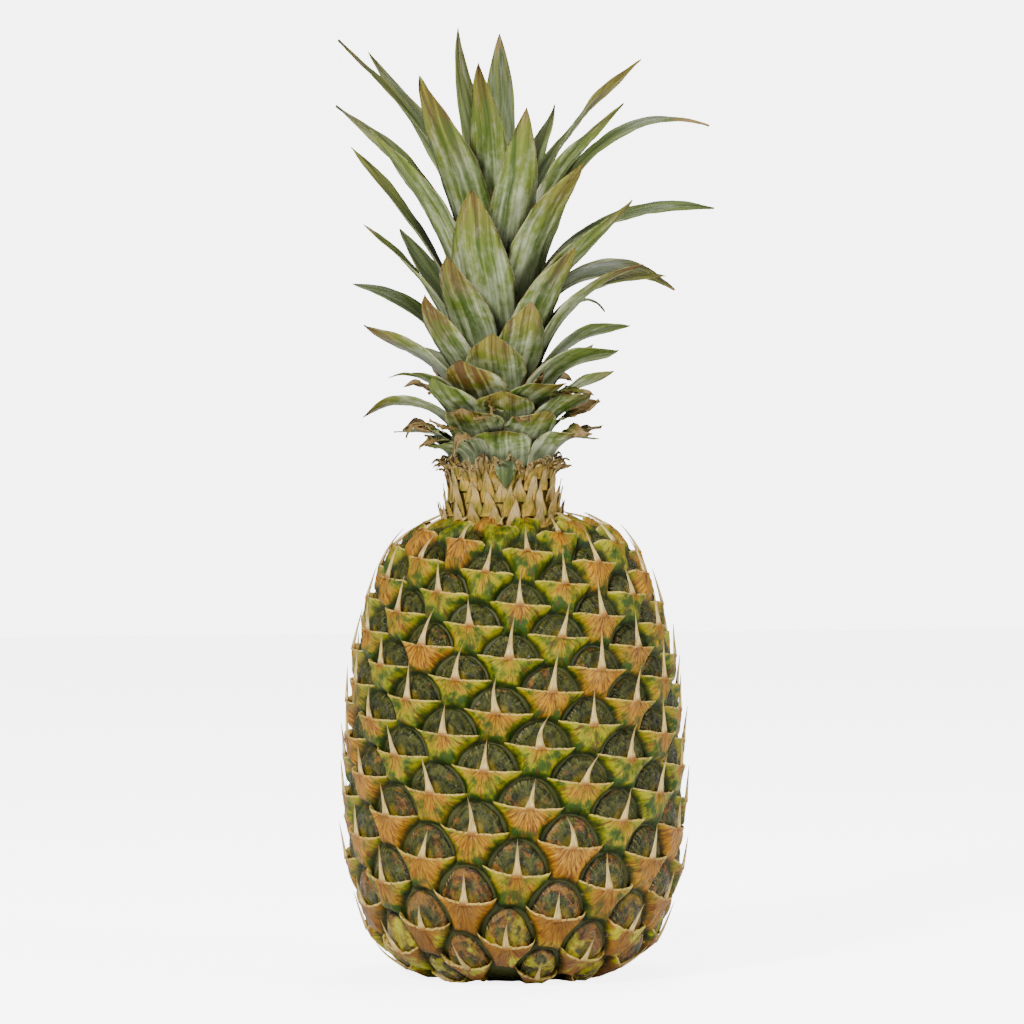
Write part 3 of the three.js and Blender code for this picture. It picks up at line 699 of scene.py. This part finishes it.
def midline(row, root_reach, t):
    """Points of a leaf's midline, (reach, height), and its unit direction there."""
    _, root_z, tip_reach, tip_z, root_lean, tip_lean = row[:6]
    hook = row[9]
    root, tip = np.array([root_reach, root_z]), np.array([tip_reach, tip_z])
    pull = 0.4 * np.hypot(*(tip - root))
    first, last = (pull * np.array([math.sin(math.radians(lean)), math.cos(math.radians(lean))])
                   for lean in (root_lean, tip_lean))
    at = ((1 - t) ** 3 * root + 3 * t * (1 - t) ** 2 * (root + first)
          + 3 * t**2 * (1 - t) * (tip - last) + t**3 * tip)
    slope = np.gradient(at, axis=0)
    slope /= np.hypot(slope[:, :1], slope[:, 1:])
    bent = hook * np.clip((t - HOOK_START) / (1 - HOOK_START), 0, 1) ** 2
    return at + bent * np.hstack([slope[:, 1:], -slope[:, :1]]), slope


def blade(row, root_reach, stations=46, columns=13, thickness=LEAF_THICKNESS, root_share=0.85,
          channel_share=0.6, tuck=0.0, shiver=0.0, seed=0.0):
    """Closed shell of a leaf: a bent midline, and a section that folds into a channel."""
    azimuth = math.radians(row[0])
    full_width, taper, twist, _ = row[6:]
    t = np.linspace(0, 0.999, stations)[:, None]
    at, slope = midline(row, root_reach, t)
    if tuck:
        depth = np.linspace(1, 0.15, 5)[:, None]
        at = np.vstack([[[root_reach, row[1]]] - depth * [[0.9, tuck]], at])
        slope = np.vstack([np.repeat(slope[:1], len(depth), axis=0), slope])
        t = np.vstack([0 * depth, t])

    width = full_width * (root_share + (1 - root_share) * smoothstep(t, 0, 0.35)) * (1 - t**taper) ** 0.9
    channel = at[:, :1] + (full_width * channel_share - at[:, :1]) * smoothstep(t, 0.15, 0.8)
    column = np.concatenate([np.linspace(-1, 1, columns), np.linspace(1, -1, columns)[1:-1]])[None, :]
    back = np.concatenate([np.ones(columns), np.zeros(columns - 2)])[None, :]
    inset = (1 - back) * thickness * np.sqrt(1 - column**2) * (1 - t**3) * (1 - 0.3 * t)
    angle = column * width / (2 * channel)
    sideways = (channel - inset) * np.sin(angle)
    outward = (channel - inset) * np.cos(angle) - channel
    outward = outward + shiver * wave(3 * column, 9 * t, seed) * smoothstep(t, 0.1, 0.6)
    sideways = sideways + shiver * 2.0 * wave(0, 3 * t, seed + 2) * smoothstep(t, 0.1, 1)

    turn = math.radians(twist) * smoothstep(t, 0.25, 1)
    across = sideways * np.cos(turn) - outward * np.sin(turn)
    outward = outward * np.cos(turn) + sideways * np.sin(turn)
    points = crown_points(azimuth, at[:, :1] + outward * slope[:, 1:], at[:, 1:] - outward * slope[:, :1])
    points[..., 0] += across * math.cos(azimuth) * MM
    points[..., 1] += across * math.sin(azimuth) * MM
    travel = np.concatenate([[0], np.cumsum(np.hypot(*np.diff(at, axis=0).T))])[:, None]
    return points, {"place": stacked(column, t, back), "grain": stacked(column * width / 2, travel, 0)}


def build_leaves():
    """One blade for each row of the table, in place of that row's CAD leaf. The mood of a leaf is
    its chance value, its dryness and how olive it is."""
    look = leaf_look()
    for index, row in enumerate(LEAVES):
        node = f"leaf_{index + 1:02d}"
        azimuth, root_z = row[:2]
        facing = smoothstep(math.cos(math.radians(azimuth)), 0.3, 0.9)
        ripe = facing * (1 - smoothstep(root_z, *OLIVE_END)) * smoothstep(root_z, *OLIVE_START)
        dry = np.clip(0.45 + 0.25 * random.normal(), 0, 1)
        olive = np.clip(0.28 + 0.22 * ripe + 0.14 * random.normal(), 0, 1)
        mood = np.array([random.random(), dry, olive])
        free = smoothstep(root_z, *CROWDING_END)
        shiver = 0.3 + 0.35 * free
        broad = row[6] * (LEAF_FULLNESS + LOW_LEAF_SPREAD * (1 - free))
        tuck = LEAF_TUCK * (0.4 + 0.6 * smoothstep(root_z, *TUCK_START))
        points, facts = blade((*row[:6], broad, *row[7:]), stem_radius(root_z) + LEAF_ROOT_GAP, tuck=tuck,
                              shiver=shiver, seed=index)
        mesh_piece(node + "_blade", [(points, {**facts, "mood": mood})], look, node, wrap=True)


def build_scraps():
    """Withered remains of small leaves caught between the low leaves."""
    scraps = []
    for i in range(SCRAPS):
        azimuth = 360 * (i + 0.3 * random.normal()) / SCRAPS
        root_z = SCRAP_HEIGHTS[0] + SCRAP_HEIGHTS[1] * random.random()
        reach = stem_radius(root_z) + SCRAP_REACH + 5 * random.random()
        row = (azimuth, root_z, reach, root_z + 4 + 9 * random.random(), 25, 80 + 40 * random.random(),
               7 + 4 * random.random(), 2.0, 50 * random.normal(), 2 * random.normal())
        points, facts = blade(row, stem_radius(root_z) + LEAF_ROOT_GAP, stations=24, columns=9, thickness=0.5,
                              shiver=1.1, seed=i)
        mood = np.array([random.random(), 1.0 + 0.9 * random.random(), 0.6])
        scraps.append((points, {**facts, "mood": mood}))
    mesh_piece("leaf_scraps", scraps, leaf_look(), "crown_stem", wrap=True)


def build_collar():
    """Scales, dry fibres and green bract of the collar, and the stem behind them and the leaves."""
    look = collar_look()
    scales = []
    for z, count, reach, length, width in COLLAR_ROWS:
        for i in range(count):
            azimuth = 360 * (i + 0.37 * z + 0.15 * random.normal()) / count
            tip_z = z + length * (1 + 0.12 * random.normal())
            tip_reach = reach + 0.9 + 0.7 * random.normal()
            row = (azimuth, z, tip_reach, tip_z, -6, 8 + 8 * random.normal(), width, 1.0, 0, 0)
            points, facts = blade(row, reach, stations=12, columns=7, thickness=0.8, root_share=1.0,
                                  channel_share=0.9, shiver=0.25, seed=i)
            scales.append((points, {**facts, "mood": np.array([random.random(), 0.5, 0.5])}))
    mesh_piece("collar_scales", scales, look, "crown_stem", wrap=True)

    frills = []
    for i in range(FRILLS):
        azimuth = 360 * (i + 0.4 * random.normal()) / FRILLS
        root_z = FRILL_FOOT[1] + 2.5 * random.random()
        row = (azimuth, root_z, FRILL_REACH + 3.0 * random.random(), root_z + 3 + 5 * random.random(), 10,
               75 + 45 * random.random(), 2.6 + 1.8 * random.random(), 1.6, 60 * random.normal(), 1.5)
        points, facts = blade(row, FRILL_FOOT[0], stations=14, columns=5, thickness=0.4, shiver=0.8, seed=i)
        frills.append((points, {**facts, "mood": np.array([random.random(), 0.8, 0.5])}))
    mesh_piece("collar_frills", frills, look, "crown_stem", wrap=True)

    points, facts = blade(TONGUE, TONGUE_ROOT, stations=16, columns=9)
    tongue = (points, {**facts, "mood": np.array([0.3, 0.2, 0.2])})
    mesh_piece("collar_tongue", [tongue], leaf_look(), "crown_stem", wrap=True)

    z = np.linspace(STEM_RADII[0][0], STEM_RADII[-1][0], STEM_RINGS)[:, None]
    azimuth = ring(STEM_SIDES)
    radii = stem_radius(z) - 0.4 + 0.25 * np.sin(30 * azimuth + z)
    core = crown_points(azimuth, radii, z)
    place = stacked(np.sin(azimuth), (z - z[0]) / (z[-1] - z[0]), 0)
    mesh_piece("crown_heart", [(core, {"place": place})], heart_look(), "crown_stem", wrap=True)


# ---------------------------------------------------------------- stage
def link(data, name, place=(0, 0, 0)):
    """Object of the stage with this data."""
    thing = bpy.data.objects.new(name, data)
    thing.location = place
    bpy.context.scene.collection.objects.link(thing)
    return thing


def aim(thing, target):
    """Turns a light or the camera towards a point."""
    thing.rotation_euler = (Vector(target) - thing.location).to_track_quat("-Z", "Y").to_euler()


def build_stage():
    """Floor, backdrop and soft lights."""
    mesh = bpy.data.meshes.new("floor")
    corners = [(-1, -1), (1, -1), (1, 1), (-1, 1)]
    mesh.from_pydata([(x * FLOOR_HALF, y * FLOOR_HALF, fruit_low.z) for x, y in corners], [], [(0, 1, 2, 3)])
    look = Look("floor")
    grain = look.noise(look.position(), 40.0)
    seen = look.add("ShaderNodeLightPath").outputs["Is Camera Ray"]
    look.feed(look.shader.inputs["Emission Color"], (1.0, 1.0, 1.0))
    look.feed(look.shader.inputs["Emission Strength"], look.math("MULTIPLY", seen, FLOOR_GLOW))
    pale = look.mix(grain, (0.87, 0.87, 0.87), (0.90, 0.90, 0.90))
    mesh.materials.append(look.finish(pale, 0.7, look.bump(grain, 0.05)))
    link(mesh, "floor")

    world = bpy.data.worlds.new("studio")
    world.use_nodes = True
    nodes, links = world.node_tree.nodes, world.node_tree.links
    strength = nodes.new("ShaderNodeMath")
    strength.operation = "MULTIPLY_ADD"
    strength.inputs[1].default_value = BACKDROP_LIGHT - WORLD_LIGHT
    strength.inputs[2].default_value = WORLD_LIGHT
    links.new(nodes.new("ShaderNodeLightPath").outputs["Is Camera Ray"], strength.inputs[0])
    links.new(strength.outputs[0], nodes["Background"].inputs["Strength"])
    nodes["Background"].inputs["Color"].default_value = (1, 1, 1, 1)
    bpy.context.scene.world = world

    for name, place, power, size in LAMPS:
        light = bpy.data.lights.new(name, "AREA")
        light.energy = power
        light.size = size
        aim(link(light, name, place), CAMERA_TARGET)


def build_camera():
    """Camera in front of the fruit, with a long lens and a slight roll."""
    data = bpy.data.cameras.new("camera")
    camera = link(data, "camera", CAMERA_PLACE)
    aim(camera, CAMERA_TARGET)
    camera.rotation_euler.rotate_axis("Z", math.radians(CAMERA_ROLL))
    data.sensor_width = SENSOR_WIDTH
    data.lens = SENSOR_WIDTH * -CAMERA_PLACE[1] / VIEW_WIDTH
    bpy.context.scene.camera = camera


build_fruit()
build_leaves()
build_scraps()
build_collar()
build_stage()
build_camera()
